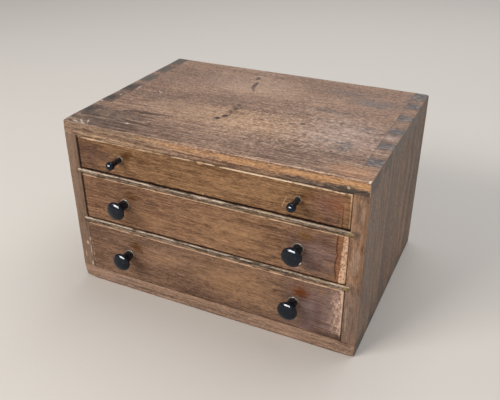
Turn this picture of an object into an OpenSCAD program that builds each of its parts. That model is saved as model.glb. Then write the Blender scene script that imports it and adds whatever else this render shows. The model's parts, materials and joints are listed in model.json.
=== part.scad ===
// A table-top collectors cabinet: a dovetailed wooden case with three drawers, one above the other.
// Millimetres. X runs across the front, Y runs from the front to the back and Z runs up.
// The origin is the middle of the case's underside. The drawers open towards -Y.

/* [Case] */
// Width of the case across its front
case_w = 300; // [240:1:420]
// Depth of the case from its front edge to its back edge
case_d = 215; // [160:1:320]
// Height of the case
case_h = 180; // [165:1:260]
// Thickness of the top board
top_t = 13.5; // [10:0.5:18]
// Thickness of the bottom board
bottom_t = 15; // [10:0.5:18]
// Thickness of each side board
side_t = 13.5; // [10:0.5:18]

/* [Case dovetails] */
// Front edge to the middle of the first pin
first_pin_y = 35; // [26:0.5:50]
// Middle of one pin to the middle of the next
pin_pitch = 34.5; // [28:0.5:60]
// Width of a pin of the right side board at its root
right_pin_w = 15.5; // [8:0.5:20]
// Width of a pin of the left side board at its root
left_pin_w = 19; // [8:0.5:20]
// Width of the half pin at the back edge at its root
half_pin_w = 23; // [8:0.5:30]
// Slope of the dovetails, as one part across to this many along
dovetail_slope = 8; // [6:0.5:10]
// Glue line between the slanted faces of a joint
glue_line = 0.1; // [0.05:0.05:0.2]

/* [Back panel] */
// Thickness of the back panel, and depth of the rebate that takes it
back_panel_t = 6; // [4:0.5:8]
// How far the panel laps on to each board round it
rebate_w = 6.5; // [4:0.5:8]
// Clearance between the panel's edges and the rebate
panel_fit = 0.3; // [0.1:0.1:0.5]
// Middle of one nail to the middle of the next, along the panel's top and bottom
nail_pitch = 66; // [40:1:100]

/* [Dividers] */
// Height of the upper drawer's opening
upper_opening_h = 35; // [28:0.5:50]
// Height of the middle drawer's opening
middle_opening_h = 50; // [35:0.5:65]
// Thickness of the divider under the upper drawer
upper_divider_t = 5; // [4:0.5:8]
// Thickness of the divider under the middle drawer
lower_divider_t = 5.5; // [4:0.5:8]
// Depth of the grooves in the side boards that house the dividers
housing_d = 3.5; // [2:0.5:6]

/* [Drawer fit] */
// Clearance between a drawer and each side board
side_gap = 0.9; // [0.5:0.1:1.5]
// How far the upper and middle drawers stand off centre, to the right
drawer_shift = 0.4; // [0:0.1:0.4]
// Clearance between a drawer's sides and the board that it runs on
run_gap = 0.3; // [0.1:0.1:0.6]
// Clearance above each drawer front
head_gap = 0.5; // [0.3:0.1:1]
// Clearance under the lower drawer's front
lower_foot_gap = 0.5; // [0.3:0.1:1.5]
// Clearance under the middle drawer's front
middle_foot_gap = 1; // [0.3:0.1:1.5]
// Clearance under the upper drawer's front
upper_foot_gap = 1.3; // [0.3:0.1:1.5]
// How far the drawer fronts stand out of the case when they are shut
proud = 0.6; // [0:0.1:2]
// Clearance between a shut drawer and the back panel that stops it
stop_gap = 0.3; // [0.1:0.1:1]

/* [Drawer boards] */
// Thickness of the drawer fronts
front_t = 11; // [9:0.5:16]
// Thickness of the drawer sides
drawer_side_t = 7.5; // [6:0.5:10]
// Thickness of the drawer backs
drawer_back_t = 7; // [6:0.5:10]
// Thickness of the drawer bottoms
drawer_bottom_t = 3.5; // [3:0.5:5]
// Drop from a front's top edge to the top edges of its drawer's sides
side_drop = 0.6; // [0:0.1:3]
// Drop from the sides' top edges to the top edge of the drawer's back
back_drop = 3; // [1:0.5:6]
// Height of the bottom's groove above the lower edges of the sides
groove_up = 4; // [3.5:0.5:6]
// Depth of the bottom's groove in the front and the sides
groove_d = 3; // [2:0.5:4]
// Play of the bottom in its groove
groove_fit = 0.2; // [0.1:0.1:0.3]

/* [Drawer dovetails] */
// Wood left in front of the tails in a drawer front
lap_t = 4; // [3:0.5:6]
// Height of one front tail with the pin beside it, about
tail_pitch = 16; // [12:1:30]
// Height of the pins between the front tails, at their narrow end
front_pin_h = 4; // [2:0.5:6]
// Height of the half pin at the top of a drawer front
top_pin_h = 3; // [2:0.5:5]
// How far the lowest tail reaches below the bottom's groove
tail_foot = 1.5; // [1:0.25:2]
// Height of the back's pins at their root
back_pin_h = 6.5; // [5:0.5:8]

/* [Nails] */
// Radius of a nail's shank
nail_r = 0.7; // [0.5:0.1:1]
// Radius of a nail's head
nail_head_r = 1.6; // [1.2:0.1:2.2]
// Thickness of a nail's head
nail_head_t = 0.7; // [0.5:0.1:1]
// How far a nail reaches into the board that holds it
nail_grip = 9; // [6:0.5:12]
// Length of a nail's point
nail_point = 2; // [1:0.5:4]
// Clearance round a nail in its hole
nail_fit = 0.05; // [0.02:0.01:0.1]
// Side of a drawer, on its inside, to the nail nearest to it
drawer_nail_in = 22; // [12:1:60]

/* [Knob places] */
// Left end of a drawer to the middle of its left knob
left_knob_in = 47.5; // [30:0.5:90]
// Right end of the upper or lower drawer to the middle of its right knob
right_knob_in = 46; // [30:0.5:90]
// Right end of the middle drawer to the middle of its right knob
middle_right_knob_in = 44; // [30:0.5:90]
// Middle of a drawer front's height up to the middle of its knobs
knob_rise = 1.3; // [-2:0.1:2]
// Clearance round a knob's tenon in its hole
tenon_fit = 0.05; // [0.02:0.01:0.1]

/* [Large knobs] */
// Diameter of a large knob's head
large_head_dia = 19; // [16:0.5:22]
// Thickness of a large knob's head at its rim
large_head_t = 5.2; // [4:0.1:7]
// Drawer front to the middle of a large knob's rim
large_reach = 15.4; // [12:0.1:20]
// Height of the dome on a large knob's face
large_dome = 0.8; // [0.4:0.1:2]
// Diameter of a large knob's stem
large_stem_dia = 9.4; // [7.6:0.2:9.8]
// Diameter of a large knob's foot, where it meets the drawer front
large_foot_dia = 10.8; // [10:0.2:13]
// Height of the cove between a large knob's foot and its stem
large_foot_h = 1.6; // [1:0.1:3]
// Length over which a large knob's stem flares into its head
large_neck = 3.6; // [2:0.1:5]
// Diameter of a large knob's tenon
large_tenon_dia = 6; // [4:0.5:7]

/* [Small knobs] */
// Diameter of a small knob's ball
small_ball_dia = 8.4; // [6:0.2:12]
// Drawer front to the middle of a small knob's ball
small_reach = 15; // [10:0.5:20]
// Diameter of a small knob's stem
small_stem_dia = 4.5; // [4.1:0.1:4.9]
// Diameter of a small knob's foot, where it meets the drawer front
small_foot_dia = 6; // [5:0.1:8]
// Height of the cove between a small knob's foot and its stem
small_foot_h = 1.8; // [1:0.1:3]
// Diameter of a small knob's tenon
small_tenon_dia = 4; // [2.5:0.5:4]

/* [Hidden] */

// Facets of a full turn
$fn = 64;
// How far a cutting solid runs past the face that it cuts through
over = 1;
// How far two solids of one piece run into each other
merge = 1;

// The drawers' places from the bottom up
LOWER = 0;
MIDDLE = 1;
UPPER = 2;

// The case's corners, and the hollow between its boards
case_x = case_w / 2;
case_y = case_d / 2;
inner_x = case_x - side_t;
inner_top = case_h - top_t;
panel_y = case_y - back_panel_t;

// Pins along a side board's end
pin_room = case_d - first_pin_y - half_pin_w - max(left_pin_w, right_pin_w);
pin_count = 1 + floor(pin_room / pin_pitch);

// The drawers' openings
dividers_h = upper_divider_t + lower_divider_t;
lower_opening_h = inner_top - bottom_t - upper_opening_h - middle_opening_h - dividers_h;
lower_divider_z = bottom_t + lower_opening_h;
middle_floor_z = lower_divider_z + lower_divider_t;
upper_divider_z = middle_floor_z + middle_opening_h;
upper_floor_z = upper_divider_z + upper_divider_t;

// The drawers' boards. Each drawer is drawn with X from its middle, Y from its front's face
// and Z from the board that it runs on.
drawer_x = inner_x - side_gap;
drawer_inner_x = drawer_x - drawer_side_t;
drawer_l = proud + case_d - back_panel_t - stop_gap;
drawer_back_y = drawer_l - drawer_back_t;
tail_l = front_t - lap_t;
groove_z = run_gap + groove_up;
bottom_top_z = groove_z + drawer_bottom_t;

// The nails stand in the middle of the panel's lap
lap_x = inner_x + rebate_w / 2;
lap_top_z = inner_top + rebate_w / 2;
lap_bottom_z = bottom_t - rebate_w / 2;
nails_across = floor(2 * inner_x / nail_pitch);
// Radius of a nail's blunt tip
nail_tip_r = 0.2;

// Steps along each arc of a knob's outline
foot_steps = 6;
neck_steps = 8;
rim_steps = 14;
dome_steps = 6;
ball_steps = 16;

// Finishes
case_tone = "#7d5c44";
edge_tone = "#8d7a60";
front_tone = "#835f43";
inside_tone = "#b08a5e";
knob_tone = "#24282d";
nail_tone = "#4c4743";

function opening_h(place) = [lower_opening_h, middle_opening_h, upper_opening_h][place];
function floor_z(place) = [bottom_t, middle_floor_z, upper_floor_z][place];
function foot_gap(place) = [lower_foot_gap, middle_foot_gap, upper_foot_gap][place];
function shift_x(place) = place == LOWER ? 0 : drawer_shift;
function front_top(place) = opening_h(place) - head_gap;
function side_top(place) = front_top(place) - side_drop;
function back_top(place) = side_top(place) - back_drop;

function tail_count(place) = max(2, round((side_top(place) - run_gap) / tail_pitch));
function tail_low_z() = groove_z - tail_foot;
function tail_high_z(place) = side_top(place) - top_pin_h;
function tail_h(place) =
    (tail_high_z(place) - tail_low_z() - (tail_count(place) - 1) * front_pin_h) / tail_count(place);
function tail_z(place, i) = tail_low_z() + tail_h(place) / 2 + i * (tail_h(place) + front_pin_h);

function back_pin_count(place) = max(2, round((back_top(place) - bottom_top_z) / tail_pitch));
function back_pin_z(place, i) =
    bottom_top_z + (i + 0.5) * (back_top(place) - bottom_top_z) / back_pin_count(place);

function knob_z(place) = (foot_gap(place) + front_top(place)) / 2 + knob_rise;
function left_knob_x() = -drawer_x + left_knob_in;
function right_knob_x(place) = drawer_x - (place == MIDDLE ? middle_right_knob_in : right_knob_in);
function tenon_r(place) = (place == UPPER ? small_tenon_dia : large_tenon_dia) / 2;

// Points of an arc about (x, y), from one angle to another
function arc(x, y, rx, ry, from, to, steps) =
    [for (i = [0 : steps]) let (a = from + (to - from) * i / steps) [x + rx * cos(a), y + ry * sin(a)]];

// A box given by its lowest and highest corners
module block(low, high) {
    translate(low)
        cube(high - low);
}

// A dovetail's outline along X, root_w wide at X = 0 and tapering over its length
module dovetail(root_w, length) {
    tip_w = root_w - 2 * length / dovetail_slope;
    polygon([[0, -root_w / 2], [length, -tip_w / 2], [length, tip_w / 2], [0, root_w / 2]]);
}

// Runs an outline drawn in Y and Z along X
module across(from_x, to_x) {
    translate([from_x, 0, 0])
        rotate([90, 0, 90])
            linear_extrude(to_x - from_x)
                children();
}

// The right side board's pins seen from above. With a line and a run past the corner, they are the sockets.
module case_pins(root_w, line, run) {
    length = side_t + run;
    for (i = [0 : pin_count - 1])
        translate([inner_x, first_pin_y - case_y + i * pin_pitch])
            dovetail(root_w + 2 * line, length);
    low_y = case_y - half_pin_w - line;
    tip_y = low_y + length / dovetail_slope;
    polygon([[inner_x, low_y], [case_x + run, tip_y], [case_x + run, case_y + run], [inner_x, case_y + run]]);
}

// The rebate round the back of the case boards
module rebate() {
    block([-inner_x - rebate_w, panel_y, bottom_t - rebate_w],
          [inner_x + rebate_w, case_y + over, inner_top + rebate_w]);
}

// A nail through one board and into the next. Its head's face is at Z = 0 and its point is down.
module nail(through) {
    translate([0, 0, -nail_head_t])
        cylinder(r = nail_head_r, h = nail_head_t);
    translate([0, 0, -through - nail_grip + nail_point])
        cylinder(r = nail_r, h = through + nail_grip - nail_point);
    translate([0, 0, -through - nail_grip])
        cylinder(r1 = nail_tip_r, r2 = nail_r, h = nail_point);
}

// The hole that a nail fills
module nail_hole(through) {
    translate([0, 0, -nail_head_t - nail_fit])
        cylinder(r = nail_head_r + nail_fit, h = nail_head_t + nail_fit + over);
    translate([0, 0, -through - nail_grip - nail_fit])
        cylinder(r = nail_r + nail_fit, h = through + nail_grip);
}

// Puts a nail at each place round the back panel
module round_the_back() {
    for (i = [0 : nails_across - 1], z = [lap_bottom_z, lap_top_z])
        translate([(i - (nails_across - 1) / 2) * nail_pitch, case_y, z])
            rotate([-90, 0, 0])
                children();
    for (place = [LOWER, MIDDLE, UPPER], x = [-lap_x, lap_x])
        translate([x, case_y, floor_z(place) + opening_h(place) / 2])
            rotate([-90, 0, 0])
                children();
}

// The top or the bottom board, with sockets for the pins of both side boards
module tail_board(low_z, high_z) {
    difference() {
        block([-case_x, -case_y, low_z], [case_x, case_y, high_z]);
        translate([0, 0, low_z - over])
            linear_extrude(high_z - low_z + 2 * over) {
                case_pins(right_pin_w, glue_line, over);
                mirror([1, 0])
                    case_pins(left_pin_w, glue_line, over);
            }
        rebate();
        round_the_back()
            nail_hole(back_panel_t);
    }
}

// The right side board, with pins at both ends and grooves that house the dividers
module side_board(pin_w) {
    difference() {
        union() {
            block([inner_x, -case_y, bottom_t], [case_x, case_y, inner_top]);
            linear_extrude(bottom_t + merge)
                case_pins(pin_w, 0, 0);
            translate([0, 0, inner_top - merge])
                linear_extrude(top_t + merge)
                    case_pins(pin_w, 0, 0);
        }
        housing(lower_divider_z, lower_divider_t);
        housing(upper_divider_z, upper_divider_t);
        rebate();
        round_the_back()
            nail_hole(back_panel_t);
    }
}

// The groove in the right side board that houses a divider's end
module housing(low_z, thick) {
    block([inner_x - over, -case_y - over, low_z],
          [inner_x + housing_d, panel_y + over, low_z + thick + glue_line]);
}

// A board between two drawers, housed in both side boards
module divider(low_z, thick) {
    end_x = inner_x + housing_d - glue_line;
    block([-end_x, -case_y, low_z], [end_x, panel_y, low_z + thick]);
}

// Puts a drawer's piece, drawn from its own front and floor, where it is when the drawer is shut
module in_case(place) {
    translate([shift_x(place), -case_y - proud, floor_z(place)])
        children();
}

// Outlines in Y and Z of the tails that a drawer's sides send into its front, or of their sockets
module front_tails(place, line, run) {
    for (i = [0 : tail_count(place) - 1])
        translate([lap_t, tail_z(place, i)])
            dovetail(tail_h(place) + 2 * line, tail_l + run);
}

// Outlines in Y and Z of the pins that a drawer's back sends through its sides, or of their sockets
module back_pins(place, line, run) {
    for (i = [0 : back_pin_count(place) - 1])
        translate([drawer_back_y, back_pin_z(place, i)])
            dovetail(back_pin_h + 2 * line, drawer_back_t + run);
}

// Puts a nail, point up, at the three places where a drawer's bottom is nailed to its back
module under_the_back() {
    end_x = drawer_inner_x - drawer_nail_in;
    for (x = [-end_x, 0, end_x])
        translate([x, drawer_back_y + drawer_back_t / 2, groove_z])
            rotate([180, 0, 0])
                children();
}

// A drawer's front, with sockets for its sides' tails, a groove for its bottom and holes for its knobs
module drawer_front(place) {
    difference() {
        block([-drawer_x, 0, foot_gap(place)], [drawer_x, front_t, front_top(place)]);
        across(drawer_inner_x, drawer_x + over)
            front_tails(place, glue_line, over);
        across(-drawer_x - over, -drawer_inner_x)
            front_tails(place, glue_line, over);
        block([-drawer_inner_x - groove_d, front_t - groove_d, groove_z],
              [drawer_inner_x + groove_d, front_t + over, bottom_top_z + groove_fit]);
        for (x = [left_knob_x(), right_knob_x(place)])
            translate([x, -over, knob_z(place)])
                rotate([-90, 0, 0])
                    cylinder(r = tenon_r(place) + tenon_fit, h = front_t + 2 * over);
    }
}

// A drawer's right side, with tails into its front, sockets for its back's pins and a groove for its bottom
module drawer_side(place) {
    difference() {
        union() {
            block([drawer_inner_x, front_t, run_gap], [drawer_x, drawer_l, side_top(place)]);
            across(drawer_inner_x, drawer_x)
                front_tails(place, 0, merge);
        }
        across(drawer_inner_x - over, drawer_x + over)
            back_pins(place, glue_line, over);
        block([drawer_inner_x - over, lap_t - over, groove_z],
              [drawer_inner_x + groove_d, drawer_l + over, bottom_top_z + groove_fit]);
    }
}

// A drawer's back, with pins through both sides, standing on the bottom
module drawer_back(place) {
    difference() {
        union() {
            block([-drawer_inner_x, drawer_back_y, bottom_top_z],
                  [drawer_inner_x, drawer_l, back_top(place)]);
            across(-drawer_x, drawer_x)
                back_pins(place, 0, 0);
        }
        under_the_back()
            nail_hole(drawer_bottom_t);
    }
}

// A drawer's bottom, grooved into its front and sides and nailed up into its back
module drawer_bottom() {
    end_x = drawer_inner_x + groove_d - groove_fit;
    difference() {
        block([-end_x, front_t - groove_d + groove_fit, groove_z], [end_x, drawer_l, bottom_top_z]);
        under_the_back()
            nail_hole(drawer_bottom_t);
    }
}

// Puts a knob's piece, drawn up from Z = 0, on a drawer's front
module on_front(place, x) {
    in_case(place)
        translate([x, 0, knob_z(place)])
            rotate([90, 0, 0])
                children();
}

// A tenon, the foot on it and the cove that leads into the stem, as points from the axis outwards
function foot_points(tenon_dia, foot_dia, stem_dia, foot_h) = concat(
    [[0, -front_t], [tenon_dia / 2, -front_t], [tenon_dia / 2, 0]],
    arc(foot_dia / 2, foot_h, (foot_dia - stem_dia) / 2, foot_h, 270, 180, foot_steps)
);

// A button head on a stem that flares into it
module large_knob() {
    rim = large_head_t / 2;
    flat_r = large_head_dia / 2 - rim;
    dome_r = (flat_r * flat_r + large_dome * large_dome) / (2 * large_dome);
    face = large_reach + rim;
    neck = large_reach - rim - large_neck;
    rotate_extrude()
        polygon(concat(
            foot_points(large_tenon_dia, large_foot_dia, large_stem_dia, large_foot_h),
            arc(flat_r, neck, flat_r - large_stem_dia / 2, large_neck, 180, 90, neck_steps),
            arc(flat_r, large_reach, rim, rim, -90, 90, rim_steps),
            arc(0, face + large_dome - dome_r, dome_r, dome_r, 90 - asin(flat_r / dome_r), 90, dome_steps)
        ));
}

// A ball on a slim stem
module small_knob() {
    ball_r = small_ball_dia / 2;
    rotate_extrude()
        polygon(concat(
            foot_points(small_tenon_dia, small_foot_dia, small_stem_dia, small_foot_h),
            arc(0, small_reach, ball_r, ball_r, -acos(small_stem_dia / small_ball_dia), 90, ball_steps)
        ));
}

module top_board() {
    color(case_tone)
        tail_board(inner_top, case_h);
}

module bottom_board() {
    color(case_tone)
        tail_board(0, bottom_t);
}

module left_side_board() {
    color(case_tone)
        mirror([1, 0, 0])
            side_board(left_pin_w);
}

module right_side_board() {
    color(case_tone)
        side_board(right_pin_w);
}

module back_panel() {
    reach_x = inner_x + rebate_w - panel_fit;
    color(inside_tone)
        difference() {
            block([-reach_x, panel_y, bottom_t - rebate_w + panel_fit],
                  [reach_x, case_y, inner_top + rebate_w - panel_fit]);
            round_the_back()
                nail_hole(back_panel_t);
        }
}

module back_panel_nails() {
    color(nail_tone)
        round_the_back()
            nail(back_panel_t);
}

module upper_divider() {
    color(edge_tone)
        divider(upper_divider_z, upper_divider_t);
}

module lower_divider() {
    color(edge_tone)
        divider(lower_divider_z, lower_divider_t);
}

module upper_drawer_front() {
    color(front_tone)
        in_case(UPPER)
            drawer_front(UPPER);
}

module upper_drawer_left_side() {
    color(inside_tone)
        in_case(UPPER)
            mirror([1, 0, 0])
                drawer_side(UPPER);
}

module upper_drawer_right_side() {
    color(inside_tone)
        in_case(UPPER)
            drawer_side(UPPER);
}

module upper_drawer_back() {
    color(inside_tone)
        in_case(UPPER)
            drawer_back(UPPER);
}

module upper_drawer_bottom() {
    color(inside_tone)
        in_case(UPPER)
            drawer_bottom();
}

module upper_drawer_nails() {
    color(nail_tone)
        in_case(UPPER)
            under_the_back()
                nail(drawer_bottom_t);
}

module upper_left_knob() {
    color(knob_tone)
        on_front(UPPER, left_knob_x())
            small_knob();
}

module upper_right_knob() {
    color(knob_tone)
        on_front(UPPER, right_knob_x(UPPER))
            small_knob();
}

module middle_drawer_front() {
    color(front_tone)
        in_case(MIDDLE)
            drawer_front(MIDDLE);
}

module middle_drawer_left_side() {
    color(inside_tone)
        in_case(MIDDLE)
            mirror([1, 0, 0])
                drawer_side(MIDDLE);
}

module middle_drawer_right_side() {
    color(inside_tone)
        in_case(MIDDLE)
            drawer_side(MIDDLE);
}

module middle_drawer_back() {
    color(inside_tone)
        in_case(MIDDLE)
            drawer_back(MIDDLE);
}

module middle_drawer_bottom() {
    color(inside_tone)
        in_case(MIDDLE)
            drawer_bottom();
}

module middle_drawer_nails() {
    color(nail_tone)
        in_case(MIDDLE)
            under_the_back()
                nail(drawer_bottom_t);
}

module middle_left_knob() {
    color(knob_tone)
        on_front(MIDDLE, left_knob_x())
            large_knob();
}

module middle_right_knob() {
    color(knob_tone)
        on_front(MIDDLE, right_knob_x(MIDDLE))
            large_knob();
}

module lower_drawer_front() {
    color(front_tone)
        in_case(LOWER)
            drawer_front(LOWER);
}

module lower_drawer_left_side() {
    color(inside_tone)
        in_case(LOWER)
            mirror([1, 0, 0])
                drawer_side(LOWER);
}

module lower_drawer_right_side() {
    color(inside_tone)
        in_case(LOWER)
            drawer_side(LOWER);
}

module lower_drawer_back() {
    color(inside_tone)
        in_case(LOWER)
            drawer_back(LOWER);
}

module lower_drawer_bottom() {
    color(inside_tone)
        in_case(LOWER)
            drawer_bottom();
}

module lower_drawer_nails() {
    color(nail_tone)
        in_case(LOWER)
            under_the_back()
                nail(drawer_bottom_t);
}

module lower_left_knob() {
    color(knob_tone)
        on_front(LOWER, left_knob_x())
            large_knob();
}

module lower_right_knob() {
    color(knob_tone)
        on_front(LOWER, right_knob_x(LOWER))
            large_knob();
}

top_board();
bottom_board();
left_side_board();
right_side_board();
back_panel();
back_panel_nails();
upper_divider();
lower_divider();
upper_drawer_front();
upper_drawer_left_side();
upper_drawer_right_side();
upper_drawer_back();
upper_drawer_bottom();
upper_drawer_nails();
upper_left_knob();
upper_right_knob();
middle_drawer_front();
middle_drawer_left_side();
middle_drawer_right_side();
middle_drawer_back();
middle_drawer_bottom();
middle_drawer_nails();
middle_left_knob();
middle_right_knob();
lower_drawer_front();
lower_drawer_left_side();
lower_drawer_right_side();
lower_drawer_back();
lower_drawer_bottom();
lower_drawer_nails();
lower_left_knob();
lower_right_knob();
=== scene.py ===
"""The collectors cabinet's looks: worn boards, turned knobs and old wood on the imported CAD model.

Places and lengths are in millimetres in the CAD frame until a mesh is made, which is in metres.
X runs across the front, Y from the front to the back and Z up.
"""

import json
import math

import bmesh
import bpy
import numpy as np
from mathutils import Euler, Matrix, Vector, noise

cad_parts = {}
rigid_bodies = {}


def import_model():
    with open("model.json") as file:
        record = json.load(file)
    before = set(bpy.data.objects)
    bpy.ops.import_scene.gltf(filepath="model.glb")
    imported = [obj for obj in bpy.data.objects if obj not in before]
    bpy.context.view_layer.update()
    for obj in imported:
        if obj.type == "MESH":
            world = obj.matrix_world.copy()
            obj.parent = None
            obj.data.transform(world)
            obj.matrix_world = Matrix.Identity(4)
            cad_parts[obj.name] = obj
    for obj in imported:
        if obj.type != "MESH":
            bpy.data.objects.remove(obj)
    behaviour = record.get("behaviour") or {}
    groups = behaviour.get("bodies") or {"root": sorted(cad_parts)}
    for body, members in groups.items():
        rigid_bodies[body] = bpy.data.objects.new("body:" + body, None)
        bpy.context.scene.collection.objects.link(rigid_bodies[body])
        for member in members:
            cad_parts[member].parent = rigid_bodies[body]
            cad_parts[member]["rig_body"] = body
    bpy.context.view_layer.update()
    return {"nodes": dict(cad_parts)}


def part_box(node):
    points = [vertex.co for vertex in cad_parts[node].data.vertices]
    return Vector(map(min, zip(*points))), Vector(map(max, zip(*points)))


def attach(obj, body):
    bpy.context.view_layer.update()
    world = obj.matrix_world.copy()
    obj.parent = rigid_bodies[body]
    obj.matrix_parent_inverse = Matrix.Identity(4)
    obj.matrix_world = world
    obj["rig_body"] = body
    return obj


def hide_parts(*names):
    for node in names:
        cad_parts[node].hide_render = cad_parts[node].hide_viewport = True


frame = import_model()

TO_MM = 1000
DRAWERS = ("upper", "middle", "lower")
# Where a box has no face, and so no arris
FREE = math.inf


def box_mm(*nodes):
    """Lowest and highest corner of some CAD nodes together, in mm."""
    boxes = [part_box(node) for node in nodes]
    low = np.min([np.array(low) for low, _ in boxes], axis=0) * TO_MM
    high = np.max([np.array(high) for _, high in boxes], axis=0) * TO_MM
    return low, high


CASE_LOW, CASE_HIGH = box_mm("bottom_board", "top_board", "left_side_board", "right_side_board")
FRONT_Y = CASE_LOW[1]
BACK_Y = CASE_HIGH[1]
RIGHT_X = CASE_HIGH[0]
TOP_Z = CASE_HIGH[2]
INNER_X = box_mm("right_side_board")[0][0]

# How near points and cuts count as one, and the least radius of an arris
MERGE_GAP = 0.002
CUT_GAP = 1e-4
LEAST_WEAR = 0.05


# Meshes


def slices(low, high, depths, step):
    """Places of the cuts between two faces: close together near each face, a step apart between them."""
    near = [low + d for d in depths] + [high - d for d in depths]
    count = max(1, round((high - low) / step))
    between = [low + (high - low) * i / count for i in range(1, count)]
    clear = depths[-1] if depths else 0
    return sorted(near + [v for v in between if low + clear < v < high - clear])


def cut_node(node, cuts):
    """A CAD node's mesh in mm, cut by planes across each axis so that its arrises can be worn."""
    mesh = bmesh.new()
    mesh.from_mesh(frame["nodes"][node].data)
    bmesh.ops.scale(mesh, vec=(TO_MM,) * 3, verts=mesh.verts)
    bmesh.ops.remove_doubles(mesh, verts=mesh.verts, dist=MERGE_GAP)
    low, high = box_mm(node)
    for axis, places in enumerate(cuts):
        normal = Vector((0, 0, 0))
        normal[axis] = 1
        for place in places:
            if low[axis] < place < high[axis]:
                parts = [*mesh.verts, *mesh.edges, *mesh.faces]
                plane = {"plane_co": normal * place, "plane_no": normal}
                bmesh.ops.bisect_plane(mesh, geom=parts, dist=CUT_GAP, **plane)
    return mesh


def wear(points, base, spread, length, seed, bites=()):
    """The radius to which an arris is worn at each point. A bite is (x, y, z, reach, extra radius)."""
    # Each seed reads another part of the noise
    shift = Vector((seed * 17.3, seed * 5.1, 0))
    wander = np.array([noise.noise(Vector(p) / length + shift) for p in points])
    fine = np.array([noise.noise(Vector(p) / (length / 4) - shift) for p in points])
    radius = base * (1 + spread * (wander + 0.5 * fine))
    for x, y, z, reach, extra in bites:
        away = np.linalg.norm(points - (x, y, z), axis=1) / reach
        radius += extra * np.exp(-away * away)
    return np.maximum(radius, LEAST_WEAR)


def round_off(points, low, high, radius):
    """Moves the points of a box so that its arrises have that radius. A face at infinity has no arris."""
    to_low, to_high = points - low, high - points
    reach = np.maximum(radius[:, None] - np.minimum(to_low, to_high), 0)
    longest = reach.max(axis=1)
    length = np.linalg.norm(reach, axis=1)
    share = np.where(length > longest, longest / np.maximum(length, 1e-9), 1)
    inward = np.where(to_low < to_high, 1, -1)
    return points + inward * reach * (1 - share)[:, None]


def mesh_object(name, mesh, sharp=35):
    """An object from a bmesh in mm, smooth but for its sharp edges."""
    bmesh.ops.scale(mesh, vec=(1 / TO_MM,) * 3, verts=mesh.verts)
    bmesh.ops.recalc_face_normals(mesh, faces=mesh.faces)
    data = bpy.data.meshes.new(name)
    mesh.to_mesh(data)
    mesh.free()
    data.shade_smooth()
    data.set_sharp_from_angle(angle=math.radians(sharp))
    piece = bpy.data.objects.new(name, data)
    bpy.context.scene.collection.objects.link(piece)
    return piece


def dress(piece, node, material):
    """Puts a piece in a CAD node's place, on its body and a material."""
    piece.data.materials.clear()
    piece.data.materials.append(material)
    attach(piece, frame["nodes"][node]["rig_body"])
    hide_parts(node)


def worn_board(node, material, cuts, roundings):
    """A board of the CAD model with worn arrises. A rounding is (low, high, arguments of wear)."""
    mesh = cut_node(node, cuts)
    points = np.array([v.co for v in mesh.verts])
    for low, high, how in roundings:
        points = round_off(points, np.array(low), np.array(high), wear(points, *how))
    for vertex, point in zip(mesh.verts, points):
        vertex.co = point
    dress(mesh_object(f"worn_{node}", mesh), node, material)


def lathe(mesh, profile, steps=96):
    """Adds a turned form to a bmesh. The profile is (radius, height) from the axis and back to it."""
    rings = []
    for radius, height in profile:
        if radius < 1e-6:
            rings.append([mesh.verts.new((0, 0, height))])
        else:
            turns = [2 * math.pi * i / steps for i in range(steps)]
            points = [(radius * math.cos(turn), radius * math.sin(turn), height) for turn in turns]
            rings.append([mesh.verts.new(point) for point in points])
    for lower, upper in zip(rings, rings[1:]):
        for i in range(steps):
            round_trip = ((lower, i), (lower, i + 1), (upper, i + 1), (upper, i))
            # A ring of one point, on the axis, gives the same corner twice, which counts once
            corners = dict.fromkeys(ring[place % len(ring)] for ring, place in round_trip)
            mesh.faces.new(list(corners))


def arc(x, y, rx, ry, start, end, steps):
    """Points of an arc about (x, y), between two angles in degrees."""
    turns = [math.radians(start + (end - start) * i / steps) for i in range(steps + 1)]
    return [(x + rx * math.cos(a), y + ry * math.sin(a)) for a in turns]


# Materials


def rgb(red, green, blue):
    """A colour as it looks on a screen, 0 to 255, made linear for a shader."""
    levels = [value / 255 for value in (red, green, blue)]
    return (*(((v + 0.055) / 1.055) ** 2.4 if v > 0.04045 else v / 12.92 for v in levels), 1)


# What grain, dirt and knots multiply a colour by, and how strongly fronts and boards shine
GRAIN_TINTS = (0.5, 0.46, 0.44, 1), (0.84, 0.82, 0.8, 1), (1, 1, 1, 1)
BROWN_TINT = (0.42, 0.34, 0.3, 1)
KNOT_TINT = (0.07, 0.045, 0.045, 1)
FRONT_SHEEN = 0.08
BOARD_SHEEN = 0.4


class Field:
    """A number that varies over a surface. Python's operators join fields through Math nodes."""

    def __init__(self, shader, socket):
        self.shader = shader
        self.socket = socket

    def __add__(self, other):
        return self.shader.math("ADD", self, other)

    def __sub__(self, other):
        return self.shader.math("SUBTRACT", self, other)

    def __rsub__(self, other):
        return self.shader.math("SUBTRACT", other, self)

    def __mul__(self, other):
        return self.shader.math("MULTIPLY", self, other)

    def __abs__(self):
        return self.shader.math("ABSOLUTE", self)

    __radd__ = __add__


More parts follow.
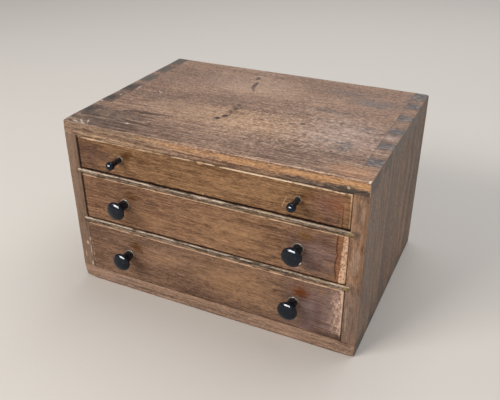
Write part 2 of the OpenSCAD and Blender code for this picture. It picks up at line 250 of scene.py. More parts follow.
class Shader:
    """The nodes of one material. x, y and z are the surface's place in mm in the CAD frame at rest."""

    def __init__(self, name):
        self.material = bpy.data.materials.new(name)
        self.material.use_nodes = True
        self.tree = self.material.node_tree
        self.tree.nodes.clear()
        here = self.node("ShaderNodeTexCoord").outputs["Object"]
        self.place = self.vector("MULTIPLY", here, (TO_MM, TO_MM, TO_MM))
        apart = self.node("ShaderNodeSeparateXYZ", Vector=self.place)
        self.x, self.y, self.z = (Field(self, socket) for socket in apart.outputs)

    def node(self, kind, **inputs):
        """A new node. Each input is a socket, a field or a plain value."""
        node = self.tree.nodes.new(kind)
        for name, value in inputs.items():
            self.feed(node.inputs[name], value)
        return node

    def feed(self, socket, value):
        value = getattr(value, "socket", value)
        if isinstance(value, bpy.types.NodeSocket):
            self.tree.links.new(value, socket)
        else:
            socket.default_value = value

    def operate(self, kind, operation, values):
        """The outputs of a node that works something out from values."""
        node = self.tree.nodes.new(kind)
        node.operation = operation
        for socket, value in zip(node.inputs, values):
            self.feed(socket, value)
        return node.outputs

    def math(self, operation, *values):
        return Field(self, self.operate("ShaderNodeMath", operation, values)[0])

    def vector(self, operation, *values):
        """The outcome of a Vector Math node, which is a number for a length or a dot product."""
        outputs = self.operate("ShaderNodeVectorMath", operation, values)
        return outputs["Value" if operation in ("LENGTH", "DOT_PRODUCT") else "Vector"]

    def smooth(self, value, start, end):
        """0 at start, 1 at end and an S curve between them."""
        node = self.node("ShaderNodeMapRange", Value=value)
        node.interpolation_type = "SMOOTHSTEP"
        self.feed(node.inputs["From Min"], start)
        self.feed(node.inputs["From Max"], end)
        return Field(self, node.outputs[0])

    def noise(self, lengths, seed, detail=2, rough=0.5, fields=None):
        """Noise from 0 to 1 whose features have about these lengths in mm along each field."""
        fields = fields or (self.x, self.y, self.z)
        spread = [self.math("MULTIPLY_ADD", f, 1 / n, seed * 7.31) for f, n in zip(fields, lengths)]
        joined = self.node("ShaderNodeCombineXYZ", X=spread[0], Y=spread[1], Z=spread[2]).outputs[0]
        made = self.node("ShaderNodeTexNoise", Vector=joined, Scale=1, Detail=detail, Roughness=rough)
        return Field(self, made.outputs["Fac"])

    def patches(self, lengths, seed, start, end, detail=3, rough=0.6):
        """A mask of patches made from noise: 0 where it is at start and 1 where it is at end."""
        return self.smooth(self.noise(lengths, seed, detail, rough), start, end)

    def mix(self, share, first, second, blend="MIX"):
        """One colour laid over another by a share from 0 to 1."""
        node = self.tree.nodes.new("ShaderNodeMix")
        node.data_type = "RGBA"
        node.blend_type = blend
        self.feed(node.inputs["Factor"], share)
        colours = [socket for socket in node.inputs if socket.type == "RGBA"]
        self.feed(colours[0], first)
        self.feed(colours[1], second)
        return next(socket for socket in node.outputs if socket.type == "RGBA")

    def ramp(self, value, stops):
        """A colour that runs through the stops, each (value, colour)."""
        node = self.node("ShaderNodeValToRGB", Fac=value)
        bar = node.color_ramp.elements
        while len(bar) < len(stops):
            bar.new(0.5)
        for element, (at, colour) in zip(bar, stops):
            element.position = at
            element.color = colour
        return node.outputs["Color"]

    def spot(self, centre, radii, ragged=None, turn=(0, 0, 0), soft=0.5):
        """A mask: 1 inside an ellipsoid and 0 outside. A ragged field of about 0 breaks its outline."""
        offset = self.vector("SUBTRACT", self.place, centre)
        if any(turn):
            axes = Euler([math.radians(a) for a in turn]).to_matrix().col
            parts = [self.vector("DOT_PRODUCT", offset, axis / radius) for axis, radius in zip(axes, radii)]
            scaled = self.node("ShaderNodeCombineXYZ", X=parts[0], Y=parts[1], Z=parts[2]).outputs[0]
        else:
            scaled = self.vector("DIVIDE", offset, radii)
        away = Field(self, self.vector("LENGTH", scaled))
        if ragged is not None:
            away = away + ragged
        return self.smooth(away, 1, 1 - soft)

    def arris(self, low, high):
        """Distance from the nearest arris of a box, for a place on its surface."""
        gaps = [
            self.math("MINIMUM", field - float(lo), float(hi) - field)
            for field, lo, hi in zip((self.x, self.y, self.z), low, high)
        ]
        first = self.math("MINIMUM", gaps[0], gaps[1])
        second = self.math("MAXIMUM", gaps[0], gaps[1])
        return self.math("MAXIMUM", first, self.math("MINIMUM", second, gaps[2]))

    def surface(self, colour, roughness, height, **settings):
        """Ends the material. Height is in mm, and settings go on the shader's own sockets."""
        bump = self.node("ShaderNodeBump", Height=height, Distance=1 / TO_MM, Strength=1)
        shader = self.node("ShaderNodeBsdfPrincipled", Roughness=roughness, Normal=bump.outputs[0])
        self.feed(shader.inputs["Base Color"], colour)
        for name, value in settings.items():
            self.feed(shader.inputs[name.replace("_", " ")], value)
        out = self.node("ShaderNodeOutputMaterial", Surface=shader.outputs[0])
        out.target = "ALL"
        return self.material


class Wood(Shader):
    """Old waxed wood whose fibres run along one axis. Stains and wear are laid on self.colour."""

    def __init__(self, name, grain, tones, seed, pith, ring, bold=1.0, fleck=1.0):
        """Pith is where the rings' middle lies across the grain, and ring is about how wide a ring is."""
        super().__init__(name)
        axes = {"x": (self.x, self.y, self.z), "y": (self.y, self.z, self.x), "z": (self.z, self.x, self.y)}
        along, across, deep = axes[grain]
        self.seed = seed
        drift = self.noise((120, 45, 45), seed, fields=(along, across, deep)) - 0.5
        across = across - pith[0] + drift * 16
        deep = deep - pith[1]

        def fibrous(lengths, number, detail=2, rough=0.6):
            return self.noise(lengths, seed + number, detail, rough, (along, across, deep))

        radius = self.math("SQRT", across * across + deep * deep)
        rings = self.noise((260, ring, 60), seed + 1, 4, 0.6, (along, radius, deep))
        streak = fibrous((64, 1.5, 1.5), 2, 3)
        fibre = fibrous((16, 0.8, 0.8), 9)
        dashes = fibrous((3.2, 0.9, 0.9), 10)
        cloud = fibrous((85, 24, 24), 3, 3, 0.55)
        parts = ((rings, 1.0 * bold), (streak, 1.2 * bold), (fibre, 1.3), (dashes, 1.5 * fleck), (cloud, 0.6))
        mean = sum(weight for _, weight in parts) / 2
        shade = sum(field * weight for field, weight in parts) + (0.5 - mean)
        self.colour = self.ramp(shade, list(zip((0.05, 0.5, 0.95), tones)))
        self.grain = self.ramp(shade, list(zip((0.05, 0.5, 0.9), GRAIN_TINTS)))
        self.pores = self.smooth(fibrous((4.5, 0.75, 0.75), 4, 1, 0.5), 0.6, 0.7)
        self.darken(self.pores, 0.6)
        self.ragged = (fibrous((9, 4, 4), 5, 3) - 0.5) * 1.6
        self.crisp = (fibrous((2.4, 1.5, 1.5), 12) - 0.5) * 1.4
        self.fine = fibrous((1.6, 1.1, 1.1), 6) - 0.5
        self.fibre = fibre
        self.cloud = cloud
        self.dull = 0.0

    def lay(self, share, colour):
        """Lays a colour over the wood, with the wood's grain in it."""
        self.colour = self.mix(share, self.colour, self.mix(1.0, self.grain, colour, "MULTIPLY"))

    def darken(self, share, depth, tint=BROWN_TINT):
        """Multiplies the colour by a dark tint."""
        self.colour = self.mix(share * depth, self.colour, tint, "MULTIPLY")

    def stain(self, centre, radii, colour, strength, soft, turn=(0, 0, 0)):
        self.lay(self.spot(centre, radii, self.ragged, turn, soft) * strength, colour)

    def shadow(self, centre, radii, strength, soft=0.7, turn=(0, 0, 0)):
        self.darken(self.spot(centre, radii, self.ragged, turn, soft), strength)

    def knot(self, centre, radii, turn, strength):
        """A small dark knot or hole with a fairly sharp outline."""
        mask = self.spot(centre, radii, self.crisp * 0.7, (0, 0, turn), 0.4)
        self.darken(mask, strength, KNOT_TINT)

    def rub(self, low, high, width, colour, strength):
        """Lays a light colour along the arrises of a box, broken by noise."""
        broken = self.arris(low, high) + self.ragged * width * 0.7 + self.fine * width
        share = self.smooth(broken, width, width * 0.25) * strength
        self.lay(share, colour)
        self.dull = share * 0.25 + self.dull

    def ended(self, rough, relief=1.0, sheen=FRONT_SHEEN):
        """The finished material, from how rough its wax is, how deep its grain and how strong its shine."""
        roughness = self.cloud * 0.22 + self.fibre * 0.16 + (rough - 0.19) + self.dull + self.pores * 0.12
        wave = self.noise((60, 34, 34), self.seed + 8, 1) * (0.25 * relief)
        height = wave + self.fibre * (0.05 * relief) - self.pores * (0.05 * relief)
        height = height + self.fine * (0.02 * relief)
        return self.surface(self.colour, roughness, height, Specular_IOR_Level=sheen)


# Colours of stains on more than one board
BLACK = (0.08, 0.055, 0.035, 1)
SOOT = rgb(63, 59, 55)
GREY = rgb(112, 104, 104)

# The top
TAIL_END = rgb(58, 44, 35)
TOP_ARRIS = rgb(224, 188, 158)
PALE_LINE = rgb(214, 180, 152)
PALE_SPECK = rgb(220, 192, 170)
SCRATCH = rgb(230, 212, 198)
STREAK_TINT = (0.3, 0.22, 0.2, 1)

# The top's front edge
EDGE_FAWN = rgb(153, 126, 101)
EDGE_GOLD = rgb(200, 149, 101)
EDGE_BROWN = rgb(146, 113, 84)
EDGE_ASH = rgb(116, 104, 93)
EDGE_STRIPE = rgb(222, 178, 134)
EDGE_TORN = rgb(214, 178, 130)

# The sides
SIDE_PAINTED_SHEEN = rgb(150, 130, 117)
SIDE_LINE = rgb(156, 128, 106)
GRIME = rgb(74, 62, 56)
KNOCK = rgb(214, 190, 170)
FADED_PIN = rgb(120, 108, 100)

# The drawer fronts
RAW = rgb(226, 184, 142)
PALE_FRONT = rgb(184, 142, 104)
FRONT_ARRIS = rgb(214, 172, 130)
RUST = rgb(112, 60, 26)
OLIVE = rgb(96, 64, 34)
PURPLE = rgb(131, 109, 107)
RAW_STRIP = rgb(226, 186, 154)
SCUFF = rgb(226, 190, 170)
GREY_TINT = (0.42, 0.39, 0.39, 1)

# Dark, middle and light tones of the woods
TOP_TONES = rgb(86, 62, 50), rgb(135, 103, 83), rgb(184, 148, 121)
SIDE_TONES = rgb(34, 22, 16), rgb(99, 71, 50), rgb(168, 128, 96)
FRONT_TONES = {
    "upper": (rgb(74, 51, 34), rgb(124, 91, 64), rgb(170, 131, 94)),
    "middle": (rgb(75, 53, 40), rgb(125, 92, 70), rgb(171, 132, 100)),
    "lower": (rgb(70, 52, 43), rgb(117, 89, 71), rgb(159, 124, 100)),
}
BOTTOM_TONES = rgb(82, 61, 50), rgb(132, 104, 85), rgb(175, 142, 119)
EDGE_TONES = rgb(42, 35, 29), rgb(108, 91, 76), rgb(176, 154, 134)
RAW_TONES = rgb(112, 80, 52), rgb(150, 112, 76), rgb(184, 144, 102)
BACK_TONES = rgb(66, 47, 34), rgb(98, 72, 52), rgb(126, 96, 70)


# Marks on the top: x, distance from the front edge, radii across and back, then a wash's colour or the turn
# in degrees, and the strength
# The washes are stains, and a painted sheen where they pale the top towards the back and the right and darken
# its front left
TOP_STAINS_AND_SHEEN = [
    (20, 70, 104, 46, rgb(218, 174, 134), 0.6), (-60, 78, 60, 26, rgb(200, 162, 130), 0.4),
    (-30, 168, 84, 48, rgb(208, 174, 150), 0.45), (100, 76, 62, 50, rgb(204, 178, 166), 0.6),
    (132, 11, 34, 16, rgb(198, 142, 98), 0.7), (110, 55, 13, 17, GREY, 0.85), (86, 62, 16, 6, GREY, 0.4),
    (118, 99, 10, 10, GREY, 0.5), (107, 164, 38, 16, GREY, 0.75), (75, 184, 40, 14, GREY, 0.4),
    (75, 127, 40, 9, GREY, 0.45), (-143, 120, 8, 130, GREY, 0.45),
    (-120, 20, 56, 36, rgb(118, 104, 86), 0.5), (140, 195, 12, 30, GREY, 0.4),
    (142, 88, 10, 9, rgb(214, 188, 178), 0.6),
]
TOP_SHADOWS = [
    (-88, 47, 38, 6.5, 4, 0.9), (-84, 48, 30, 4.2, 4, 1.0), (30, 8, 80, 10, 0, 0.1),
    (-40, 17, 40, 22, 0, 0.28), (35, 128, 22, 12, 0, 0.2), (-95, 10, 84, 36, 0, 1.0),
    (60, 22, 60, 5, 0, 0.2), (-132, 50, 46, 60, 0, 0.42), (-126, 120, 30, 30, 0, 0.2),
    (-120, 165, 44, 60, 0, 0.12), (-76, 18, 56, 22, 0, 0.24), (-14, 94, 6, 26, 4, 0.45),
]
TOP_KNOTS = [
    (-31.5, 186, 3.2, 6.5, 8, 0.7), (-25.8, 165, 3.2, 13, 8, 0.74), (-21, 151, 2.6, 8, 25, 0.45),
    (-14.9, 73, 3.3, 4.4, -20, 0.94), (-18.8, 65.4, 3.8, 3.5, 0, 0.94), (60, 85.8, 3.4, 2.2, 15, 1.0),
    (49.5, 82.5, 4.4, 1.6, 12, 0.6), (37, 81.5, 2.4, 1.8, 0, 0.5), (20.5, 79.5, 2.4, 2, 0, 0.65),
    (14.5, 77, 2, 1.9, 0, 0.55), (-3, 74.5, 2, 2.2, 0, 0.4), (88, 71, 2.6, 2.2, 0, 0.5),
    (65, 127, 6, 2.4, 8, 0.45), (89, 127, 5, 2.8, 20, 0.45), (-108, 103, 3, 2.4, 0, 0.6),
    (-109, 44, 3.2, 2, 0, 0.8), (-91, 45.5, 3.6, 2.2, 0, 0.8),
]
TOP_SCRATCHES = [
    (-89, 18, 2.4, 2, 0, 1.0), (-107, 104, 5, 1.3, -40, 0.5), (-136, 108, 1.6, 7, 0, 0.6),
    (-139, 79, 4, 1.5, -50, 0.8), (-148, 58, 3, 1.6, 0, 0.7), (-131, 5, 9, 1.3, -44, 0.6),
    (-125, 7, 6, 1.2, -62, 0.6), (-137, 3, 6, 1.4, -20, 0.6), (-128, 2.4, 5, 1.2, -10, 0.6),
]


# The side boards' pins as in the CAD model. Their width is the mean of both sides', the number of the
# last whole one counts from 0, and their slope is 1 to this
FIRST_PIN_Y = FRONT_Y + 35
PIN_PITCH = 34.5
PIN_W = 17
LAST_PIN = 4
HALF_PIN_W = 23
PIN_SLOPE = 8

# Cracks in the top's front edge: height and both ends
EDGE_CRACKS = (168.5, -132, -52), (165.8, -100, -30), (162.6, -146, -96)


# In the functions below, s is the shader that they make or add to


def front_mask(s):
    """1 on the front edges of the case's boards."""
    return s.smooth(s.y, FRONT_Y + 0.9, FRONT_Y + 0.2)


def top_mask(s):
    """1 on the case's top."""
    return s.smooth(s.z, TOP_Z - 0.9, TOP_Z - 0.3)


def end_mask(s):
    """1 on the case's left and right faces."""
    return s.smooth(abs(s.x), RIGHT_X - 0.9, RIGHT_X - 0.3)


def right_mask(s):
    """1 in the right half and 0 in the left one."""
    return s.smooth(s.x, -9, 9)


def pins_outline(s, width):
    """The lines round the side boards' pins, seen from above or below. They fade out over a width."""
    out = abs(s.x) - INNER_X
    narrowing = out * (1 / PIN_SLOPE)
    number = s.math("ROUND", (s.y - FIRST_PIN_Y) * (1 / PIN_PITCH))
    number = s.math("MINIMUM", s.math("MAXIMUM", number, 0), LAST_PIN)
    across = abs(s.y - (number * PIN_PITCH + FIRST_PIN_Y))
    side = abs(across + narrowing - PIN_W / 2)
    back = abs(s.y - narrowing - (BACK_Y - HALF_PIN_W))
    root = s.math("MAXIMUM", abs(out), across - (PIN_W / 2 + 0.4))
    line = s.math("MINIMUM", s.math("MINIMUM", side, back), root)
    return s.smooth(line, width, width * 0.2) * s.smooth(out, -0.8, -0.2)


def case_top():
    s = Wood("case_top_wood", "x", TOP_TONES, 1, (30, -160), 4.5, 0.64, 1.6)
    on_top = top_mask(s)
    on_end = end_mask(s) * (1 - on_top)
    top_face(s, on_top)
    top_edge(s, front_mask(s))
    # The tails' end grain, the joints' lines and the line that was scribed to cut them by
    right = right_mask(s)
    s.lay(on_end * 0.85, TAIL_END)
    s.darken(pins_outline(s, 8) * on_top * (0.75 - right * 0.55), 0.8)
    s.darken(pins_outline(s, 0.7) * (1 - on_end) * (right * 0.6 + 0.15), 0.85)
    scribed = s.smooth(abs(abs(s.x) - (INNER_X - 0.4)), 0.7, 0.2)
    s.darken(scribed * on_top * (right * 0.3 + 0.3), 0.7)
    rubbed = s.smooth(s.y, FRONT_Y + 6, FRONT_Y + 3)
    rubbed = rubbed * (s.smooth(s.x, -20, 80) * 0.75 + 0.08) + (1 - rubbed) * 0.2
    s.rub(CASE_LOW, CASE_HIGH, 1.1, TOP_ARRIS, rubbed)
    return s.ended(0.4, sheen=BOARD_SHEEN)


def top_place(x, depth):
    return x, FRONT_Y + depth, TOP_Z


def top_face(s, on_top):
    """The top's washes of colour, partly painted sheen, and of shadow, its open grain, and its knots and
    scratches over them.
    """
    for x, depth, across, deep, colour, strength in TOP_STAINS_AND_SHEEN:
        s.stain(top_place(x, depth), (across, deep, 8), colour, strength, 0.95)
    for x, depth, across, deep, turn, strength in TOP_SHADOWS:
        s.shadow(top_place(x, depth), (across, deep, 4), strength, 0.9, (0, 0, turn))
    # Lines of open grain, deepest towards the front, and speckled wear right of the middle
    near = (s.smooth(s.y, FRONT_Y + 150, FRONT_Y + 20) * 0.7 + 0.15) * on_top
    for lengths, seed in (((60, 2.4, 6), 33), ((24, 1.8, 6), 35)):
        lines = s.noise(lengths, seed, 3, 0.6)
        s.darken(s.smooth(lines, 0.54, 0.63) * near, 0.6)
        s.lay(s.smooth(lines, 0.45, 0.36) * near * 0.35, PALE_LINE)
    speckle = s.noise((3.6, 2.8, 6), 34, 3, 0.7)
    worn = s.spot(top_place(62, 72), (130, 80, 8), soft=0.7) * on_top
    s.darken(s.smooth(speckle, 0.53, 0.6) * worn, 0.66)
    s.lay(s.smooth(speckle, 0.46, 0.39) * worn * 0.6, PALE_SPECK)
    # Fine cross lines where the grain rises beside the knots
    feather = s.patches((1.8, 6, 3), 31, 0.47, 0.58, 2)
    streak = s.spot(top_place(-13.6, 90), (5.5, 28, 4), s.crisp, (0, 0, 3), 0.8)
    s.darken(streak * (feather * 0.7 + 0.3), 1.0, STREAK_TINT)
    s.darken(s.spot(top_place(8, 92), (40, 26, 4), s.ragged, soft=0.9) * feather, 0.4)
    for x, depth, across, deep, turn, strength in TOP_KNOTS:
        s.knot(top_place(x, depth), (across, deep, 4), turn, strength)
    for x, depth, across, deep, turn, strength in TOP_SCRATCHES:
        s.stain(top_place(x, depth), (across, deep, 4), SCRATCH, strength, 0.5, (0, 0, turn))


def top_edge(s, on_front):
    """The top's front edge: fawn and cracked at the left, then golden over brown, and sooty at the right."""
    s.lay(on_front * s.smooth(s.x, -10, -60) * 0.55, EDGE_FAWN)
    gold = s.smooth(s.noise((60, 6, 6), 21, 3, 0.6) + s.smooth(s.x, -75, 30) * 0.2, 0.5, 0.64)
    gold = gold * s.smooth(s.z + s.ragged * 1.5, 170.5, 173) * s.smooth(s.z + s.ragged, 178.8, 176.8)
    s.lay(on_front * gold * (s.smooth(s.x, -20, 50) * 0.3 + 0.5), EDGE_GOLD)
    dark = s.smooth(abs(s.z - 172.6 - s.ragged * 1.6), 2.6, 0.6) * s.smooth(s.x, -40, -75)
    s.darken(dark * on_front, 0.55)
    wander = s.noise((70, 8, 8), 22, 2) * 9
    for height, left, right in EDGE_CRACKS:
        crack = s.smooth(abs(s.z - wander - height), 1.0, 0.3)
        crack = crack * s.smooth(s.x, left, left + 8) * s.smooth(s.x, right, right - 14)
        s.darken(crack * on_front * s.patches((13, 5, 5), 23, 0.4, 0.52), 1.0)
    # The brown band below, lined with dirt, and the dark seam along it
    brown = s.smooth(s.z + s.ragged * 1.6 + s.crisp, 171.4, 169.8) * s.smooth(s.x, -20, 30) * on_front
    s.lay(brown * 0.8, EDGE_BROWN)
    s.darken(brown * s.patches((26, 2.2, 2.2), 24, 0.46, 0.55, 4, 0.65), 0.95)
    seam = s.smooth(abs(s.z - 170.6 - s.ragged * 0.5), 0.8, 0.3)
    seam = seam * s.smooth(s.x, -50, -20) * s.smooth(s.x, 60, 20)
    s.darken(seam * on_front, 0.9)
    # Soot at the right end, with a darker stain and a chip in it, and the chipped corner above
    soot = s.smooth(s.z + s.ragged * 5 + s.crisp * 1.2, 172.8, 169.8) * s.smooth(s.x, 62, 95) * on_front
    s.lay(soot * 0.5, EDGE_ASH)
    s.darken(soot * (s.patches((9, 2.4, 2.4), 26, 0.46, 0.56, 4, 0.7) * 0.6 + 0.15), 0.9, BLACK)
    s.stain((134, FRONT_Y, 169), (16, 4, 6), rgb(66, 58, 50), 0.75, 0.9)
    s.stain((132, FRONT_Y, 171.4), (1.5, 3, 1.7), rgb(206, 186, 160), 0.8, 0.5)
    s.stain((149.2, FRONT_Y + 0.6, 179.3), (2, 2, 1.6), rgb(244, 234, 220), 0.95, 0.5)
    # A shadow line along the lower arris, a pale stripe above and torn fibres at the left
    s.darken(s.smooth(s.z, 167.4, 166.6) * s.smooth(s.x, -80, -40) * on_front, 0.95)
    pale = s.smooth(abs(s.z - 174.6 - s.ragged * 2.4), 1.2, 0.4) * s.smooth(s.x, -60, 20) * 0.3
    s.lay(pale * on_front, EDGE_STRIPE)
    torn = s.patches((24, 2.6, 2.2), 27, 0.5, 0.6, 3, 0.7) * s.smooth(s.z + s.ragged, 171, 169)
    s.lay(torn * s.smooth(s.x, -30, -60) * on_front * 0.5, EDGE_TORN)


def case_bottom():
    s = Wood("case_bottom_wood", "x", BOTTOM_TONES, 2, (20, 140), 3.6)
    on_front = front_mask(s)
    on_end = end_mask(s)
    s.lay(on_front * s.patches((90, 6, 6), 25, 0.42, 0.62, rough=0.5) * 0.5, rgb(164, 129, 105))
    s.lay(on_front * s.smooth(s.z + s.ragged, 10, 12) * 0.3, rgb(184, 148, 124))
    s.darken(on_front * s.smooth(s.z, 13, 15.2) * s.smooth(s.x, 90, 125), 0.7)
    s.shadow((140, FRONT_Y, 14), (10, 4, 5), 0.8)
    s.stain((-100, FRONT_Y, 9), (26, 4, 5), GREY, 0.35, 0.9)
    s.lay(on_end * 0.7, rgb(62, 47, 37))
    s.darken(pins_outline(s, 0.7) * (1 - on_end), 0.75)
    s.rub(CASE_LOW, CASE_HIGH, 1.2, rgb(176, 134, 100), 0.4)
    s.darken(s.smooth(s.z + s.ragged * 0.8, 2.6, 0.6), 0.8)
    return s.ended(0.46, sheen=BOARD_SHEEN)


# Marks on the sides' front edges: x, height, radius across, radius up, strength
SIDE_MARKS = {
    "left": {
        "knocks": [(-141, 44, 2.2, 2.4, 1.0), (-137.6, 50, 1.1, 4, 0.7), (-137.8, 36, 1, 9, 0.6),
                   (-138.6, 19, 1.4, 3.4, 0.7), (-145, 30, 1.4, 5, 0.4)],
        "grime": [(-142, 73.5, 5, 7, 0.9), (-142, 129, 5, 7, 0.9)],
    },
    "right": {
        "knocks": [(143, 103, 5, 16, 0.2), (139.4, 40, 1, 22, 0.3), (146, 150, 2, 18, 0.12)],
        "grime": [(142.2, 151, 3.4, 17, 0.8), (141.5, 129, 4.5, 7, 1.0), (142.5, 130, 3, 4.5, 1.0),
                  (143, 164.5, 7, 3.5, 0.8), (141.5, 77, 4.5, 9, 0.7), (144, 42, 6, 34, 0.45)],
    },
}


def case_side(side, seed, edge, pins):
    """A side board's wood, from the colours of its front edge and of its pins."""
    s = Wood(f"{side}_side_board_wood", "z", SIDE_TONES, seed, (60, 30), 3.4)
    # Paler and greyer towards the front, a painted sheen
    s.lay(s.smooth(s.y + s.cloud * 40, BACK_Y, FRONT_Y) * 0.45, SIDE_PAINTED_SHEEN)
    lines = s.noise((6, 3.4, 90), seed + 35, 3, 0.6)
    s.darken(s.smooth(lines, 0.53, 0.62), 0.45)
    s.lay(s.smooth(lines, 0.45, 0.37) * 0.3, SIDE_LINE)
    side_edge(s, edge, SIDE_MARKS[side])
    on_pin = top_mask(s) + s.smooth(s.z, 0.9, 0.3)
    side_pins(s, on_pin, pins)
    s.darken(s.smooth(s.z, 5, 0.5) * 0.8, 0.5)
    s.rub(CASE_LOW, CASE_HIGH, 1.2, rgb(184, 140, 104), 0.35 - on_pin * 0.3)
    # The right edge's inner arris, and the whole of the left edge
    s.rub((INNER_X, FRONT_Y, -99), (RIGHT_X, BACK_Y, 999), 0.7, rgb(170, 126, 90), 0.3)
    return s.ended(0.5, 1.6, BOARD_SHEEN)


def side_edge(s, colour, marks):
    """A side's front edge, dark beside the drawers with handling and polish, and the right one all over."""
    on_front = front_mask(s)
    right = right_mask(s)
    s.lay(on_front * 0.9, colour)
    blotch = s.patches((5, 6, 14), s.seed + 31, 0.46, 0.58, 4, 0.68)
    s.darken(on_front * s.smooth(abs(s.x) - INNER_X + s.ragged * 2.2, 7, 0.5) * blotch, 0.4)
    scar = s.patches((2.6, 6, 12), s.seed + 33, 0.5, 0.62, 3, 0.7)
    s.darken(on_front * scar * (right * 0.25 + 0.4), 0.8)
    s.darken(on_front * s.smooth(s.x + s.ragged, INNER_X + 7, RIGHT_X), 0.6)
    # The inner arris is black with dirt and with painted shade of the gap on the left of the two upper
    # drawers
    gap = s.smooth(s.x + s.crisp * 0.5, -INNER_X - 1.5, -INNER_X - 0.9)
    s.darken(on_front * s.smooth(s.z, 76, 80) * gap * (1 - right), 1.0, BLACK)
    s.lay(on_front * right * s.smooth(s.z + s.ragged * 6, 84, 62) * 0.4, rgb(114, 103, 98))
    for x, z, across, up, strength in marks["grime"]:
        s.stain((x, FRONT_Y, z), (across, 4, up), GRIME, strength * 0.6, 0.8)
    for x, z, across, up, strength in marks["knocks"]:
        s.stain((x, FRONT_Y, z), (across, 3, up), KNOCK, strength, 0.5)


def side_pins(s, on_pin, colour):
    """The end grain of a side's pins, cracked, faded towards the back and dusty on the right."""
    right = right_mask(s)
    s.lay(on_pin * (0.9 - pins_outline(s, 6) * (1 - right) * 0.36), colour)
    s.lay(on_pin * s.smooth(s.y, FRONT_Y + 118, FRONT_Y + 128) * (0.6 - right * 0.4), FADED_PIN)
    cracks = s.patches((6, 1.8, 4), s.seed + 32, 0.44, 0.56, 4, 0.75)
    s.darken(on_pin * cracks * (0.5 + right * 0.5), 0.6)
    dust = s.patches((5, 1.5, 2), s.seed + 34, 0.49, 0.6, 3, 0.7)
    s.lay(on_pin * dust * right * 0.7, rgb(176, 160, 152))


def divider_wood(name, seed, low, high, lower_line):
    """A divider's wood, grey with handling. Its upper arris is rubbed pale, and its lower by a share."""
    s = Wood(name, "x", EDGE_TONES, seed, (10, -90), 2.5)
    on_front = s.smooth(s.y, FRONT_Y + 1.2, FRONT_Y + 0.3)
    # Darker off the front face: painted shade where the drawers cover it, and dirt
    s.darken(1 - on_front, 0.9)
    s.darken(s.patches((11, 3, 1.3), seed + 40, 0.45, 0.57, 4, 0.7) * on_front, 0.55)
    broken = s.patches((13, 4, 4), seed + 41, 0.42, 0.52, 4, 0.72) * 0.8 + 0.1
    drop = float(high[2]) - s.z + s.ragged * 0.4 + s.crisp * 0.4
    s.lay(s.smooth(drop, 1.9, 1.4) * broken * on_front * 0.9, rgb(226, 208, 188))
    # Painted shade on the rounded shoulder of the upper arris
    s.darken(s.smooth(drop, 1.0, 0.5), 0.85)
    bare = s.patches((30, 5, 2), seed + 42, 0.5, 0.6, rough=0.5) * s.smooth(s.x, -10, 90)
    s.lay(bare * on_front * 0.4, rgb(186, 150, 104))
    rise = s.z - float(low[2]) + s.ragged * 0.4 + s.crisp * 0.5
    s.lay(s.smooth(rise, 1.1, 0.6) * broken * on_front * lower_line, rgb(228, 210, 180))
    s.darken(s.smooth(s.z, low[2] + 0.8, low[2] + 0.3) * (1 - lower_line) * on_front, 0.8)
    s.stain((137, FRONT_Y, (low[2] + high[2]) / 2), (4.5, 4, 2.6), rgb(158, 134, 84), 0.7, 0.6)
    return s.ended(0.6, 1.2)


def drawer_front(drawer, seed, pith):
    """A drawer front's wood, with the marks that the photograph shows on that drawer."""
    low, high = box_mm(f"{drawer}_drawer_front")
    s = Wood(f"{drawer}_front_wood", "x", FRONT_TONES[drawer], seed, pith, 3.2, 0.62, 0.65)
    marks = FRONT_MARKS[drawer]
    front_stains(s, low[1], marks)
    # Darker along the arrises, and a painted shadow round each knob's foot, a little to the lower right
    for side in ("left", "right"):
        knob_low, knob_high = box_mm(f"{drawer}_{side}_knob")
        x, _, z = (knob_low + knob_high) / 2
        s.shadow((x + 1, low[1], z - 1), (10, 4, 10), 0.6, 0.9)
    s.darken(s.smooth(s.arris(low, high) + s.ragged, 3.2, 0.4) * s.smooth(s.fine, -0.1, 0.2), 0.45)
    marks["more"](s)
    s.rub(low, high, 0.8, FRONT_ARRIS, 0.35)
    # The gap below is black with dirt and painted shade, and so is the one at the left end
    below, beside = low[2] + marks["gaps"][0], low[0] + marks["gaps"][1]
    s.darken(s.smooth(s.z + s.ragged * 1.1 + s.crisp * 0.5, below + 0.5, below), 1.0, BLACK)
    s.darken(s.smooth(s.x + s.ragged * 0.4, beside, beside - 0.5), 1.0, BLACK)
    # The upper arris, pale in patches: bare wood where it is rubbed, and a painted highlight along it
    drop, colour, left, right = marks["arris"]
    upper = s.smooth(s.z + s.crisp * 0.5 + s.ragged * 0.4, high[2] - drop, high[2] - drop + 0.4)
    upper = upper * s.smooth(s.y, low[1] + 3.5, low[1] + 0.8)
    keep = s.patches((18, 9, 9), seed + 50, 0.4, 0.54, 4, 0.68)
    keep = keep * (s.smooth(s.x, -50, 40) * (right - left) + left)
    s.lay(upper * keep, colour)
    return s.ended(0.44)


def front_stains(s, y, marks):
    """The pale, coloured, dark and bare places of a drawer front whose face is at y."""
    for x, z, across, up, strength in marks["pale"]:
        s.stain((x, y, z), (across, 4, up), PALE_FRONT, strength, 0.98)
    for x, z, across, up, colour, strength in marks["stains"]:
        s.stain((x, y, z), (across, 4, up), colour, strength, 0.95)
    for x, z, across, up, strength in marks["dark"]:
        s.shadow((x, y, z), (across, 4, up), strength, 0.8)
    for x, z, across, up, turn, strength in marks["light"]:
        s.stain((x, y, z), (across, 4, up), RAW, strength, 0.5, (0, turn, 0))


def upper_more(s):
    """A crack near the right end, and that end's rubbed arris."""
    crack = s.smooth(abs(s.x - 129.4 - s.ragged * 0.3), 0.7, 0.2) * s.smooth(s.z, 158, 150)
    s.darken(crack, 0.7)
    end = box_mm("upper_drawer_front")[1][0]
    rubbed = s.smooth(s.z + s.ragged * 4, 148, 164) * 0.5 + 0.25
    s.lay(s.smooth(s.x + s.fine, end - 1.6, end - 0.9) * rubbed, rgb(236, 192, 152))


